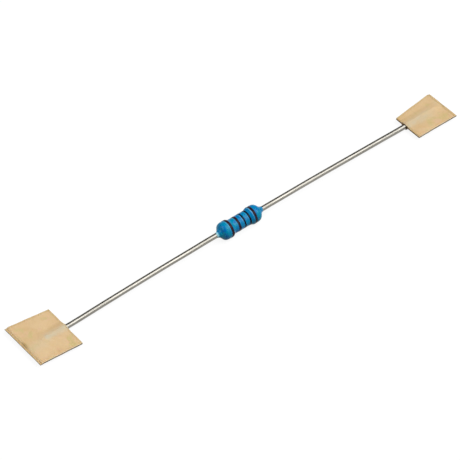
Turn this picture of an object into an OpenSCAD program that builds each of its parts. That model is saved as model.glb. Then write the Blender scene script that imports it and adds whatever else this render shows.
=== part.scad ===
// Axial metal film resistor, quarter watt, with the two squares of carrier tape still on its leads.
// Millimetres. X runs along the body, Y across it and Z up from the surface that it lies on.
// The origin is on that surface, straight under the middle of the body.
// Left is the -X end and right the +X end; back is +Y and front is -Y.

/* [Ceramic core] */
// Diameter of the ceramic rod
core_d = 1.6; // [1.2:0.05:2]
// Length of the ceramic rod
core_l = 4.7; // [3.6:0.1:6.5]
// Bevel on the rod's two rims
core_bevel = 0.06; // [0.02:0.01:0.1]

/* [Resistive film] */
// Thickness of the film; a real one is about a thousand times thinner
film_t = 0.02; // [0.015:0.005:0.05]
// Turns of the helical slit that sets the resistance
slit_turns = 4.5; // [1:0.5:6]
// Width of the slit, measured along the rod
slit_w = 0.15; // [0.05:0.01:0.2]
// Uncut film between each end of the slit and the cap beside it
slit_margin = 0.15; // [0.05:0.05:0.3]

/* [End caps] */
// Wall of the pressed steel caps
cap_wall = 0.12; // [0.08:0.01:0.2]
// Length of a cap over its end plate
cap_l = 1.15; // [0.95:0.05:1.5]
// Thickness of a cap's end plate
cap_plate = 0.15; // [0.1:0.01:0.25]
// Outer rounding between a cap's wall and its end plate
cap_round = 0.1; // [0.04:0.01:0.15]

/* [Leads] */
// Diameter of the tinned copper wire
lead_d = 0.65; // [0.45:0.05:0.8]
// Diameter of the head that is welded to the cap
weld_d = 0.9; // [0.7:0.05:1.2]
// Thickness of the welded head
weld_t = 0.08; // [0.05:0.01:0.12]
// Length over which the head narrows to the wire
weld_neck = 0.12; // [0.08:0.01:0.2]
// Level stretch of wire between the resin and the first bend
lead_stub = 0.12; // [0.05:0.01:1]
// Radius of the two slow bends that take the wire down to the tape
bend_r = 60; // [20:5:90]
// Level stretch of wire between the second bend and the tape
lead_run_in = 0.3; // [0.1:0.1:1]

/* [Coating] */
// Resin over the film between the caps
coat_waist_t = 0.11; // [0.06:0.01:0.3]
// Resin over the left cap
coat_left_t = 0.19; // [0.12:0.01:0.3]
// Resin over the right cap
coat_right_t = 0.16; // [0.12:0.01:0.3]
// Resin past a cap's end plate
coat_end = 0.48; // [0.35:0.01:0.7]
// Length of the rounded end of the coat on the left
dome_left_l = 0.8; // [0.7:0.01:1.1]
// Length of the rounded end of the coat on the right
dome_right_l = 0.88; // [0.7:0.01:1.1]
// Squareness of the rounded ends: 2 is an ellipse
dome_power = 2.6; // [2:0.1:4]
// Length of the slope from the waist up to the full girth
shoulder_l = 0.52; // [0.3:0.01:0.8]
// How far that slope starts before the mouth of the cap
shoulder_lead = 0.2; // [0.1:0.01:0.4]
// Length of the collar that the resin draws out along the wire
collar_l = 0.6; // [0.3:0.05:1]
// Height of that collar at the foot of the rounded end
collar_rise = 0.28; // [0.1:0.01:0.4]

/* [Colour bands] */
// Thickness of the printed ink
ink_t = 0.02; // [0.01:0.005:0.04]
// Place of the first digit's band, from the middle of the body
first_digit_x = 1.82; // [1.6:0.01:2]
// Width of the first digit's band
first_digit_w = 0.34; // [0.2:0.01:0.5]
// Place of the second digit's band
second_digit_x = 1.08; // [0.9:0.01:1.3]
// Width of the second digit's band
second_digit_w = 0.26; // [0.2:0.01:0.5]
// Place of the third digit's band
third_digit_x = 0.28; // [0.1:0.01:0.5]
// Width of the third digit's band
third_digit_w = 0.24; // [0.2:0.01:0.5]
// Place of the multiplier band
multiplier_x = -0.54; // [-0.8:0.01:-0.3]
// Width of the multiplier band
multiplier_w = 0.34; // [0.2:0.01:0.5]
// Place of the tolerance band
tolerance_x = -1.74; // [-1.9:0.01:-1.5]
// Width of the tolerance band
tolerance_w = 0.38; // [0.2:0.01:0.5]

/* [Carrier tape] */
// Distance between the inner edges of the two tapes
tape_gap = 52.5; // [40:0.1:64]
// Width of each tape, along the wire
tape_w = 6; // [5:0.1:9]
// Thickness of one layer of paper
tape_t = 0.12; // [0.08:0.01:0.2]
// Half width of the ridge that the wire makes in each layer
ridge_half_w = 0.8; // [0.6:0.05:1.4]
// Length of the ramp where the ridges run out past the end of the wire
ridge_ramp = 0.8; // [0.5:0.1:1.2]
// Length of the ridges past the wire's tip, before they run out
ridge_past_tip = 0.05; // [0.02:0.01:0.5]
// Air between the wire and the paper that bends round it
paper_clear = 0.01; // [0.01:0.005:0.03]

/* [Left tape] */
// Wire held inside the left tape
left_wire_in = 3; // [2:0.1:4.5]
// How far the wire enters behind the body's axis
left_wire_y = 0.05; // [0:0.05:0.5]
// Lean of the left tape's long edges toward the body at the back, in degrees
left_lean = 0.7; // [0:0.1:3]
// Reach of the left tape behind the axis, at its inner edge
left_back_in = 3.45; // [2:0.05:5]
// Reach behind the axis, at the outer edge
left_back_out = 4.2; // [2:0.05:5]
// Reach in front of the axis, at the inner edge
left_front_in = 3.3; // [2:0.02:5]
// Reach in front of the axis, at the outer edge
left_front_out = 2.92; // [2:0.02:5]
// How far the upper layer stops short of the inner edge
left_short_in = 0; // [0:0.02:0.5]
// How far the upper layer stops short of the outer edge
left_short_out = 0.28; // [0:0.02:0.5]

/* [Right tape] */
// Wire held inside the right tape
right_wire_in = 4.8; // [2:0.1:5]
// How far the wire enters behind the body's axis
right_wire_y = 0.35; // [0:0.05:0.5]
// Lean of the right tape's long edges toward the body at the back, in degrees
right_lean = 2.9; // [0:0.1:3]
// Reach of the right tape behind the axis, at its inner edge
right_back_in = 1.9; // [1.8:0.05:5]
// Reach behind the axis, at the outer edge
right_back_out = 2.65; // [1.8:0.05:5]
// Reach in front of the axis, at the inner edge
right_front_in = 2.26; // [1.8:0.02:5]
// Reach in front of the axis, at the outer edge
right_front_out = 2.26; // [1.8:0.02:5]
// How far the upper layer stops short of the inner edge
right_short_in = 0.12; // [0:0.02:0.5]
// How far the upper layer stops short of the outer edge
right_short_out = 0.24; // [0:0.02:0.5]

/* [Hidden] */
$fn = 64;

// Radii, from the rod outward
core_r = core_d / 2;
film_r = core_r + film_t;
cap_r = film_r + cap_wall;
waist_r = film_r + coat_waist_t;
bulge_left_r = cap_r + coat_left_t;
bulge_right_r = cap_r + coat_right_t;
lead_r = lead_d / 2;
weld_r = weld_d / 2;

// Places along the body, from its middle outward
cap_face_x = core_l / 2 + cap_plate;
cap_mouth_x = cap_face_x - cap_l;
neck_x = cap_face_x + weld_t + weld_neck;
shoulder_x = cap_mouth_x - shoulder_lead;
foot_x = cap_face_x + coat_end;
coat_end_x = foot_x + collar_l;
bend_in_x = coat_end_x + lead_stub;
tape_in_x = tape_gap / 2;
bend_out_x = tape_in_x - lead_run_in;

// The body lies on the ink of its larger bulge. At the tapes the wire lies midway between the two layers,
// and each tape stands on the ridge under its wire and on the two loose outer corners of its lower layer.
axis_z = max(bulge_left_r, bulge_right_r) + ink_t;
wire_z = tape_t + paper_clear + lead_r;
wire_drop = axis_z - wire_z;
corner_drop = wire_z - tape_t;
loose_from = min(tape_w / 3, left_wire_in, right_wire_in);

// The bends are a hair thicker than the wire, whose straights reach a little way into them, so that all
// the stretches of a lead join into one solid
bend_swell = 0.001;
wire_overlap = 0.05;
bend_facets = 720;

// The resin's thin lip on the wire, the roundness of the corner behind it, and the coat's stations
coat_lip = 0.01;
collar_blend = 6;
coat_steps = 120;

// The printed ink is thinner at its two rims
ink_bevel = 0.04;
ink_rim = 0.5;

// Facets round the film, which are also the slit's steps for one turn
film_facets = 36;
film_x = core_l / 2 - core_bevel;
slit_steps = slit_turns * film_facets;
slit_start = -cap_mouth_x + slit_margin;
slit_step = 2 * (cap_mouth_x - slit_margin) / slit_steps;
slit_rows = ceil(slit_turns);

// Rows of the ridges' ramp
ramp_rows = 8;

// Colours that more than one piece has
kraft = "#dcb887";
brown_ink = "#4a3530";
black_ink = "#0c1018";

function clamp01(t) = min(max(t, 0), 1);
function ease(t) = let (c = clamp01(t)) c * c * (3 - 2 * c);

// Rounded end of the coat, from 0 at its foot to 1 where it meets the full girth
function dome(depth, length) = pow(1 - pow(1 - clamp01(depth / length), dome_power), 1 / dome_power);

// Girth of the coat without its rounded ends: the waist, then a slope up to each bulge
function trunk_r(x) =
    let (bulge_r = x < 0 ? bulge_left_r : bulge_right_r)
    waist_r + (bulge_r - waist_r) * ease((abs(x) - shoulder_x) / shoulder_l);

// Collar of resin that thins out along the wire, and dies away inside the rounded end
function collar_r(depth) =
    (lead_r + coat_lip + collar_rise * pow(clamp01(1 + depth / collar_l), 2)) * (1 - ease(depth / coat_end));

function coat_r(x) =
    let (depth = foot_x - abs(x), length = x < 0 ? dome_left_l : dome_right_l)
    pow(pow(trunk_r(x) * dome(depth, length), collar_blend) + pow(collar_r(depth), collar_blend),
        1 / collar_blend);

// Outline of the coat from its left end to its right, with closer stations toward the ends
coat_outline = [for (i = [0 : coat_steps])
    let (x = coat_end_x * sin(180 * i / coat_steps - 90)) [x, coat_r(x)]];

// Outside of the right cap, from its mouth round to the middle of its end plate
cap_round_steps = 6;
cap_outline = concat([[cap_mouth_x, film_r], [cap_mouth_x, cap_r]],
    [for (i = [0 : cap_round_steps])
        let (a = 90 * i / cap_round_steps)
        [cap_face_x - cap_round + cap_round * sin(a), cap_r - cap_round + cap_round * cos(a)]]);

// Outside of the right lead's head, from its rim to the wire
head_outline = [[cap_face_x, weld_r], [cap_face_x + weld_t, weld_r], [neck_x, lead_r]];

// Spins a half section, drawn as [x, radius], round the X axis
module spun(section) {
    rotate([0, 90, 0]) rotate_extrude() polygon([for (p = section) [p[1], p[0]]]);
}

// The same round the body's own axis
module turned(section) {
    translate([0, 0, axis_z]) spun(section);
}

module toward(side) {
    if (side == "left") mirror([1, 0, 0]) children();
    else children();
}

module ceramic_core() {
    end = core_l / 2;
    color("ivory") turned([[-end, 0], [-end, core_r - core_bevel], [core_bevel - end, core_r],
        [end - core_bevel, core_r], [end, core_r - core_bevel], [end, 0]]);
}

// The film is a tube of facets. Each line between two facets is crossed by every turn of the slit, at
// two rims. Before the slit's start and past its end the two rims are one place, so the film is whole there.
function slit_half(step) = step <= 0 || step >= slit_steps ? 0 : slit_w / 2;
function slit_x(step) = slit_start + slit_step * step;
function film_point(line, x, r) = [x, r * cos(360 * line / film_facets), r * sin(360 * line / film_facets)];

// Places along one line of the film: its left end, the two rims of each crossing, and its right end
function film_column(line) = concat([-film_x],
    [for (row = [0 : slit_rows - 1], rim = [-1, 1])
        let (step = line + row * film_facets) slit_x(step) + rim * slit_half(step)],
    [film_x]);

// One facet's stretch of film, between two of those places
module film_strip(line, low, high) {
    inner_r = core_r / cos(180 / film_facets);
    a = film_column(line);
    b = film_column(line + 1);
    corners = [[line, a[low]], [line + 1, b[low]], [line + 1, b[high]], [line, a[high]]];
    points = [for (r = [inner_r, film_r], c = corners) film_point(c[0], c[1], r)];
    polyhedron(points, [[0, 1, 2, 3], [7, 6, 5, 4], [1, 5, 6, 2], [3, 7, 4, 0],
        [0, 4, 5], [0, 5, 1], [3, 2, 6], [3, 6, 7]]);
}

module metal_film() {
    color("darkslategray") translate([0, 0, axis_z])
        for (line = [0 : film_facets - 1], row = [0 : slit_rows]) film_strip(line, 2 * row, 2 * row + 1);
}

module end_cap(side) {
    plate_x = cap_face_x - cap_plate;
    color("silver") toward(side)
        turned(concat(cap_outline, [[cap_face_x, 0], [plate_x, 0], [plate_x, film_r]]));
}

// Angle of the wire's slope: two bends and the straight between them take it down by the drop
function slope_angle(span, drop, bends) =
    atan2(span, bends - drop) - acos(bends / norm([bends - drop, span]));

module wire(from, to) {
    translate([from, 0, 0]) rotate([0, 90, 0]) cylinder(r = lead_r, h = to - from);
}

module wire_bend(from_angle, angle) {
    rotate([90, 0, 0]) rotate([0, 0, from_angle]) rotate_extrude(angle = angle, $fn = bend_facets)
        translate([bend_r, 0]) circle(r = lead_r + bend_swell);
}

// The head is flat where it is welded to the cap and narrows to the wire
module wire_head() {
    spun(concat([[cap_face_x, 0]], head_outline, [[neck_x, 0]]));
}

module lead(side, wire_in, wire_y) {
    drop = norm([wire_drop, wire_y]);
    slope = slope_angle(bend_out_x - bend_in_x, drop, 2 * bend_r);
    bend_x = bend_r * sin(slope);
    bend_z = bend_r * (1 - cos(slope));
    straight_l = (bend_out_x - bend_in_x - 2 * bend_x) / cos(slope);
    color("gainsboro") toward(side) translate([0, 0, axis_z]) rotate([atan2(wire_y, wire_drop), 0, 0]) {
        wire_head();
        wire(neck_x, bend_in_x + wire_overlap);
        translate([bend_in_x, 0, -bend_r]) wire_bend(90 - slope, slope);
        translate([bend_in_x + bend_x, 0, -bend_z]) rotate([0, slope, 0])
            wire(-wire_overlap, straight_l + wire_overlap);
        translate([bend_out_x, 0, bend_r - drop]) wire_bend(-90 - slope, slope);
        translate([0, 0, -drop]) wire(bend_out_x - wire_overlap, tape_in_x + wire_in);
    }
}

// The coat fills everything between its outline and what it covers
module epoxy_coat() {
    covered = concat(cap_outline, head_outline, [[coat_end_x, lead_r]]);
    right_half = [for (i = [len(covered) - 1 : -1 : 0]) covered[i]];
    left_half = [for (p = covered) [-p[0], p[1]]];
    color("#0a84be") turned(concat(coat_outline, right_half, left_half));
}

// A ring of ink that sits on the coat's own outline
module band(middle, width, ink) {
    from = middle - width / 2;
    to = middle + width / 2;
    seat = concat([from], [for (p = coat_outline) if (p[0] > from && p[0] < to) p[0]], [to]);
    face = concat([from + ink_bevel], [for (x = seat) if (x > from + ink_bevel && x < to - ink_bevel) x],
        [to - ink_bevel]);
    under = [for (x = seat) [x, lookup(x, coat_outline)]];
    over = [for (i = [len(face) - 1 : -1 : 0]) [face[i], lookup(face[i], coat_outline) + ink_t]];
    rim_to = [[to, lookup(to, coat_outline) + ink_rim * ink_t]];
    rim_from = [[from, lookup(from, coat_outline) + ink_rim * ink_t]];
    color(ink) turned(concat(under, rim_to, over, rim_from));
}

// A place on the tape: along the wire from the inner edge, and across it from the body's axis
function tape_place(along, across, lean) = [tape_in_x + along - across * tan(lean), across];

// Each layer bends half-way round the wire as a ridge: an arc on the wire and a straight flank to each
// foot, where the two layers meet. A face of the layer at a given thickness is that arc and flank moved
// out by the thickness.
flank = asin((lead_r + paper_clear) / ridge_half_w);

function ridge_z(v, thick) =
    let (r = lead_r + paper_clear + thick)
    v < r * sin(flank) ? sqrt(r * r - v * v)
        : max(thick, (ridge_half_w - v) * tan(flank) + thick / cos(flank));

// One layer of a tape. The upper layer is level. The lower layer is glued to it along the wire, and from
// loose_from outward its side edges have come away and hang down, to the surface at the outer corners.
module paper(side, layer, wire_in, wire_y, back_in, back_out, front_in, front_out, lean,
    short_in, short_out) {
    upper = layer == "upper";
    arc = (lead_r + paper_clear) * sin(flank);
    half_lines = [arc / 2, arc, (lead_r + paper_clear + tape_t) * sin(flank), ridge_half_w,
        ridge_half_w + tape_t * tan(flank / 2)];
    ridge_lines = concat([for (i = [len(half_lines) - 1 : -1 : 0]) -half_lines[i]], [0], half_lines);
    columns = len(ridge_lines) + 2;
    ramp_from = wire_in + ridge_past_tip;
    outer_edge = tape_w - short_out;
    all_rows = concat(short_in > 0 ? [0, short_in] : [0], [loose_from],
        [for (i = [0 : ramp_rows]) let (u = ramp_from + ridge_ramp * i / ramp_rows) if (u < outer_edge) u],
        short_out > 0 ? [outer_edge, tape_w] : [tape_w]);
    rows = [for (u = all_rows) if (!upper || (u >= short_in && u <= outer_edge)) u];
    points = [for (face = [0, 1], u = rows)
        let (front = front_in + (front_out - front_in) * u / tape_w,
            back = back_in + (back_out - back_in) * u / tape_w,
            thick = tape_t * (upper ? face : 1 - face),
            lift = 1 - ease((u - ramp_from) / ridge_ramp),
            lines = concat([-front], [for (v = ridge_lines) wire_y + v], [back]))
        for (column = [0 : columns - 1])
            let (y = lines[column],
                place = tape_place(u, y, lean),
                loose = !upper && (column == 0 || column == columns - 1),
                hang = loose ? corner_drop * max(0, u - loose_from) / (tape_w - loose_from) : 0,
                off_middle = thick + lift * (ridge_z(abs(y - wire_y), thick) - thick))
            [place[0], place[1], wire_z + (upper ? off_middle : -off_middle - hang)]];
    last_row = len(rows) - 1;
    last_column = columns - 1;
    function at(face, row, column) = (face * len(rows) + row) * columns + column;
    function quad(a, b, c, d) = [[a, b, c], [a, c, d]];
    function side_quad(r1, c1, r2, c2) = quad(at(0, r1, c1), at(0, r2, c2), at(1, r2, c2), at(1, r1, c1));
    under = [for (r = [1 : last_row], c = [1 : last_column])
        each quad(at(0, r - 1, c - 1), at(0, r, c - 1), at(0, r, c), at(0, r - 1, c))];
    over = [for (r = [1 : last_row], c = [1 : last_column])
        each quad(at(1, r - 1, c - 1), at(1, r - 1, c), at(1, r, c), at(1, r, c - 1))];
    cut_sides = [for (r = [1 : last_row])
        each concat(side_quad(r, 0, r - 1, 0), side_quad(r - 1, last_column, r, last_column))];
    long_edges = [for (c = [1 : last_column])
        each concat(side_quad(0, c - 1, 0, c), side_quad(last_row, c, last_row, c - 1))];
    color(kraft) toward(side) polyhedron(points, concat(under, over, cut_sides, long_edges));
}

module left_paper(layer) {
    paper("left", layer, left_wire_in, left_wire_y, left_back_in, left_back_out, left_front_in,
        left_front_out, left_lean, left_short_in, left_short_out);
}

module right_paper(layer) {
    paper("right", layer, right_wire_in, right_wire_y, right_back_in, right_back_out, right_front_in,
        right_front_out, right_lean, right_short_in, right_short_out);
}

ceramic_core();
metal_film();
end_cap("left");  // end_cap_left
end_cap("right");  // end_cap_right
lead("left", left_wire_in, left_wire_y);  // lead_left
lead("right", right_wire_in, right_wire_y);  // lead_right
epoxy_coat();
band(first_digit_x, first_digit_w, brown_ink);  // first_digit_band
band(second_digit_x, second_digit_w, black_ink);  // second_digit_band
band(third_digit_x, third_digit_w, black_ink);  // third_digit_band
band(multiplier_x, multiplier_w, brown_ink);  // multiplier_band
band(tolerance_x, tolerance_w, brown_ink);  // tolerance_band
left_paper("upper");  // tape_left_upper
left_paper("lower");  // tape_left_lower
right_paper("upper");  // tape_right_upper
right_paper("lower");  // tape_right_lower
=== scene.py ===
# %% [markdown]
# # A blue film resistor on its paper tapes
#
# The object is an axial resistor as it comes off a reel: a small dog-bone body of blue resin with five
# colour bands, a tinned wire out of each end, and a piece of brown paper tape on the end of each wire.
# The measured solids of all its pieces are loaded first and stay as they are. What shows is then made
# again as fine surfaces in the same places, because the solids have no ragged ink, no wrinkled paper and
# no cured resin.
#
# Lengths in the cells below are millimetres. They become Blender's metres when a mesh is made.

# %% Load the measured pieces
import math

import bpy
import numpy as np
from mathutils import Matrix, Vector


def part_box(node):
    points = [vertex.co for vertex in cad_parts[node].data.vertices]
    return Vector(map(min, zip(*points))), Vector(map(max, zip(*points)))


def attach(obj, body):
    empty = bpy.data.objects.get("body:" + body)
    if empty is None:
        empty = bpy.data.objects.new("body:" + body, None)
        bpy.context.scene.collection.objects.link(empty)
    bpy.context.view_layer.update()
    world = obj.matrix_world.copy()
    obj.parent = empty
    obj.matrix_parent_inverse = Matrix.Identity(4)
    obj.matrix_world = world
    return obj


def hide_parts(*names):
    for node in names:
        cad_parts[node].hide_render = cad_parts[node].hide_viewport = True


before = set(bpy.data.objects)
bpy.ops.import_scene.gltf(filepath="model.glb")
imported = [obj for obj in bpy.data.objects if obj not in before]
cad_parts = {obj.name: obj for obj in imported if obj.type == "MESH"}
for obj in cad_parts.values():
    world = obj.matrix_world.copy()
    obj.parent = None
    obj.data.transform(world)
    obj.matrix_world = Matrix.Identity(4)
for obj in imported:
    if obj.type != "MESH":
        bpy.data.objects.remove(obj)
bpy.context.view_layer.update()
MM = 0.001


def box_mm(node):
    """Lowest and highest corner of a measured piece, in millimetres."""
    low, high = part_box(node)
    return np.array(low) / MM, np.array(high) / MM


# %% [markdown]
# ## The camera
#
# A small part is best shown from far away through a long lens, so that both ends come out the same size.
# The camera is set by the direction it looks from: a turn round the upright axis and a lift above the
# table. Those two angles give three unit vectors: to its right, up, and back toward it. It aims a little
# to the left of the body's middle and below it, which brings both tapes into the frame.

# %% Set the camera
def sight_axes(turn, lift):
    """Unit vectors to the right, up and back, for what looks from a turn and a lift in degrees: back is
    (sin turn cos lift, -cos turn cos lift, sin lift), right (cos turn, sin turn, 0), and up back x right."""
    turn, lift = math.radians(turn), math.radians(lift)
    back = np.array([math.sin(turn) * math.cos(lift), -math.cos(turn) * math.cos(lift), math.sin(lift)])
    right = np.array([math.cos(turn), math.sin(turn), 0.0])
    return right, np.cross(back, right), back


def stand_at(name, data, axes, place):
    """A camera or a lamp at a place in metres, which looks against the last of its axes."""
    stood = bpy.data.objects.new(name, data)
    bpy.context.scene.collection.objects.link(stood)
    matrix = np.eye(4)
    matrix[:3, :3], matrix[:3, 3] = np.stack(axes, axis=1), place
    stood.matrix_world = Matrix(matrix.tolist())
    return stood


rightward, upward, toward = sight_axes(turn=-38.54, lift=47.28)
body_middle, aim_left, aim_below = np.array([0.0, 0.028, 1.156]), 1.060, 0.953
aim = body_middle - aim_left * rightward - aim_below * upward
camera_distance, focal_length, sensor_w = 690.0, 448.4, 36.0

lens = bpy.data.cameras.new("long_lens")
lens.lens, lens.sensor_width = focal_length, sensor_w
lens.clip_start, lens.clip_end = 0.05, 20.0
camera = stand_at("camera", lens, [rightward, upward, toward], (aim + camera_distance * toward) * MM)
bpy.context.scene.camera = camera
print("the camera looks from", np.round(toward, 3))

# %% [markdown]
# ## From a grid of points to a mesh
#
# Every piece here is a surface with two parameters, so it can be worked out as one array of points in
# rows and columns. One helper turns such an array into a mesh. It can join the last row or column to the
# first, close a tube's ends with fans of triangles, and close the ends of a flat folded sheet. Blender's
# own primitives could be bent into these shapes, but then nothing would say where each point belongs.

# %% Number the corners of the faces
def grid_faces(ids, wrap_rows, wrap_columns):
    """Corners of all faces between neighbours of a grid of vertex numbers: (i, j), (i, j+1), (i+1, j+1),
    (i+1, j), with the last row or column also joined to the first where it wraps."""
    if wrap_rows:
        ids = np.concatenate([ids, ids[:1]])
    if wrap_columns:
        ids = np.concatenate([ids, ids[:, :1]], axis=1)
    return np.stack([ids[:-1, :-1], ids[:-1, 1:], ids[1:, 1:], ids[1:, :-1]], axis=-1).reshape(-1, 4)


def fold_faces(row, last):
    """Faces that close one end of a flat tube, whose column k lies over column count - 1 - k."""
    half = len(row) // 2
    under, over = row[:half], row[::-1][:half]
    corners = [over[:-1], over[1:], under[1:], under[:-1]]
    return np.stack(corners[::-1] if last else corners, axis=1)


def fan_faces(row, pole, last):
    """Triangles from an end row of a tube to a point in its middle."""
    after = np.roll(row, -1)
    return np.stack([np.full(len(row), pole), *([row, after] if last else [after, row])], axis=1)


print("a grid of 3 by 4 points has", len(grid_faces(np.arange(12).reshape(3, 4), False, False)), "faces")

# %% [markdown]
# The points and faces go into the mesh as whole arrays. Faces that meet at more than a set angle keep a
# sharp edge between them, and the rest are shaded smooth.

# %% Put a surface into a mesh
sharp_from = math.radians(38)


def surface(name, points, wrap_rows=False, wrap_columns=False, poles=False, folded=False, masks=None):
    """One surface from points[row, column] in millimetres. Its faces look along (step to the next column)
    x (step to the next row), so the columns run in the order that makes them look out. `poles` closes both
    ends of a tube with a fan, `folded` closes both ends of a flat tube, and `masks` holds named values for
    every point, which a material reads as attributes."""
    rows, columns = points.shape[:2]
    ids = np.arange(rows * columns).reshape(rows, columns)
    corners = points.reshape(-1, 3)
    quads = [grid_faces(ids, wrap_rows, wrap_columns)]
    fans = [np.empty((0, 3), int)]
    if poles:
        corners = np.concatenate([corners, points[:1].mean(1), points[-1:].mean(1)])
        fans += [fan_faces(ids[0], ids.size, False), fan_faces(ids[-1], ids.size + 1, True)]
    if folded:
        quads += [fold_faces(ids[0], False), fold_faces(ids[-1], True)]
    quads, fans = np.concatenate(quads), np.concatenate(fans)
    mesh = bpy.data.meshes.new(name)
    mesh.vertices.add(len(corners))
    mesh.vertices.foreach_set("co", (corners * MM).astype(np.float32).ravel())
    mesh.loops.add(quads.size + fans.size)
    mesh.loops.foreach_set("vertex_index", np.concatenate([quads.ravel(), fans.ravel()]))
    mesh.polygons.add(len(quads) + len(fans))
    starts = np.concatenate([np.arange(len(quads)) * 4, quads.size + np.arange(len(fans)) * 3])
    mesh.polygons.foreach_set("loop_start", starts)
    mesh.update(calc_edges=True)
    for mask, values in (masks or {}).items():
        column = np.zeros(len(corners), np.float32)
        column[:ids.size] = np.broadcast_to(values, ids.shape).ravel()
        mesh.attributes.new(mask, "FLOAT", "POINT").data.foreach_set("value", column)
    mesh.validate()
    mesh.shade_smooth()
    mesh.set_sharp_from_angle(angle=sharp_from)
    piece = bpy.data.objects.new(name, mesh)
    bpy.context.scene.collection.objects.link(piece)
    print(f"{name}: {2 * len(quads) + len(fans)} triangles, {np.round(np.ptp(corners, axis=0), 2)} mm")
    return piece


# %% [markdown]
# Each finished piece rides on the part, hides the measured node that it stands for, and takes its finish.

# %% Let a piece stand for a measured one
def stands_for(piece, node, finish):
    """The piece takes the place of a measured node, and gets its finish."""
    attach(piece, "root")
    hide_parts(node)
    piece.data.materials.append(finish)


print("measured nodes:", len(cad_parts))

# %% [markdown]
# ## Gentle unevenness
#
# Nothing that is dipped, printed or pasted is exactly even. The unevenness is smooth, so it is the sum
# of plane waves through space, each with its own direction and phase. Waves through space, and not along
# the surface, meet themselves without a seam when the surface goes round an axis. A fixed seed makes the
# same waves on each run.

# %% Sum plane waves into a smooth unevenness
def unevenness(seed, place, wavelength, waves=24):
    """Smooth values, mostly between -1 and 1: the sum of cos(k . place + phase) over random directions,
    with wavelengths from 0.7 to 1.6 times the one given."""
    rng = np.random.default_rng(seed)
    heading = rng.normal(size=(waves, 3))
    heading /= np.linalg.norm(heading, axis=1, keepdims=True)
    turns = 2 * np.pi / (wavelength * rng.uniform(0.7, 1.6, (waves, 1)))
    phase = rng.uniform(0, 2 * np.pi, waves)
    return np.cos(place @ (heading * turns).T + phase).sum(-1) / math.sqrt(2 * waves)


def ease(t):
    """0 below 0, 1 above 1, and the smooth step 3t^2 - 2t^3 between."""
    t = np.clip(t, 0, 1)
    return t * t * (3 - 2 * t)


def hill(distance, width):
    """1 at distance 0, and smoothly down to 0 at the width."""
    return 1 - ease(np.abs(distance) / width)


sample = unevenness(1, np.linspace([0, 0, 0], [50, 0, 0], 500), 1.0)
print("unevenness along 50 mm: from", sample.min().round(2), "to", sample.max().round(2))

# %% [markdown]
# ## Shader helpers
#
# A finish is a tree of shader nodes. These helpers keep the cells short: one adds a node with its
# settings, and the others use it to mix two colours or to read a value. A texture's place is the object's
# own coordinates in millimetres, so that the sizes in a finish are real sizes.

# %% Add nodes with their settings
def add(tree, kind, inputs=None, **settings):
    """A new node. `settings` are its own fields, and `inputs` maps a socket's name or number to a value,
    or to the output that feeds it."""
    made = tree.nodes.new(kind)
    for field, value in settings.items():
        setattr(made, field, value)
    for socket, value in (inputs or {}).items():
        if isinstance(value, bpy.types.NodeSocket):
            tree.links.new(value, made.inputs[socket])
        else:
            made.inputs[socket].default_value = value
    return made


def screen(red, green, blue):
    """A colour given in screen values from 0 to 255, as the linear values that shaders use."""
    share = np.array([red, green, blue]) / 255
    linear = np.where(share > 0.04045, ((share + 0.055) / 1.055) ** 2.4, share / 12.92)
    return (*linear.tolist(), 1.0)


def mix_colours(tree, factor, first, second):
    """The first colour where the factor is 0, the second where it is 1."""
    return add(tree, "ShaderNodeMix", {0: factor, 6: first, 7: second}, data_type="RGBA").outputs[2]


def between(tree, mask, low, high):
    """`low` where the mask is 0, `high` where it is 1, and the smooth step between."""
    return add(tree, "ShaderNodeMapRange", {0: mask, 1: 0.0, 2: 1.0, 3: low, 4: high},
               interpolation_type="SMOOTHSTEP").outputs[0]


def attribute(tree, name):
    """A piece's own named values."""
    return add(tree, "ShaderNodeAttribute", attribute_name=name).outputs["Fac"]


def place_mm(tree):
    """Where a point of the surface is, in millimetres."""
    own = add(tree, "ShaderNodeTexCoord").outputs["Object"]
    return add(tree, "ShaderNodeVectorMath", {0: own, 3: 1 / MM}, operation="SCALE").outputs[0]


print("a middle grey of 128 on a screen is", round(screen(128, 128, 128)[0], 3), "in a shader")

# %% [markdown]
# A material's plain constants sit on the Principled shader itself, on the sockets of those names.

# %% Start a finish
def new_finish(name, **constants):
    """A material with a Principled shader whose named sockets hold these constants."""
    finish = bpy.data.materials.new(name)
    finish.use_nodes = True
    shader = finish.node_tree.nodes["Principled BSDF"]
    for socket, value in constants.items():
        shader.inputs[socket.replace("_", " ")].default_value = value
    print("finish", name, constants)
    return finish, finish.node_tree, shader


# %% [markdown]
# ## Two shared effects
#
# Several finishes need cloudy variation, and several need a fine grain. Each effect is a node group that
# is built once and placed in each material with its own sizes. `clouds` gives a mask of soft patches, and
# `fine_relief` a normal that is tilted by a grain of a stated size and depth. A stretch above 1 draws
# either out along X, as wire is drawn, and one below 1 draws it out across X, as the paper's fibres lie.

# %% Make a group with named sockets
def new_group(name, inputs, outputs):
    """A node group with named sockets of these kinds, what it is given, and its output node."""
    group = bpy.data.node_groups.new(name, "ShaderNodeTree")
    for way, sockets in (("INPUT", inputs), ("OUTPUT", outputs)):
        for socket, kind in sockets.items():
            group.interface.new_socket(socket, in_out=way, socket_type=kind)
    return group, add(group, "NodeGroupInput").outputs, add(group, "NodeGroupOutput")


def stretched_noise(group, given, detail):
    """Noise at the group's place, whose patches have the group's size and are stretched along X."""
    inverse = add(group, "ShaderNodeMath", {0: 1.0, 1: given["Stretch"]}, operation="DIVIDE").outputs[0]
    squeeze = add(group, "ShaderNodeCombineXYZ", {0: inverse, 1: 1.0, 2: 1.0}).outputs[0]
    squeezed = add(group, "ShaderNodeVectorMath", {0: given["Place"], 1: squeeze},
                   operation="MULTIPLY").outputs[0]
    scale = add(group, "ShaderNodeMath", {0: 1.0, 1: given["Size"]}, operation="DIVIDE").outputs[0]
    return add(group, "ShaderNodeTexNoise", {"Vector": squeezed, "Scale": scale, "Detail": detail}).outputs[0]


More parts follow.
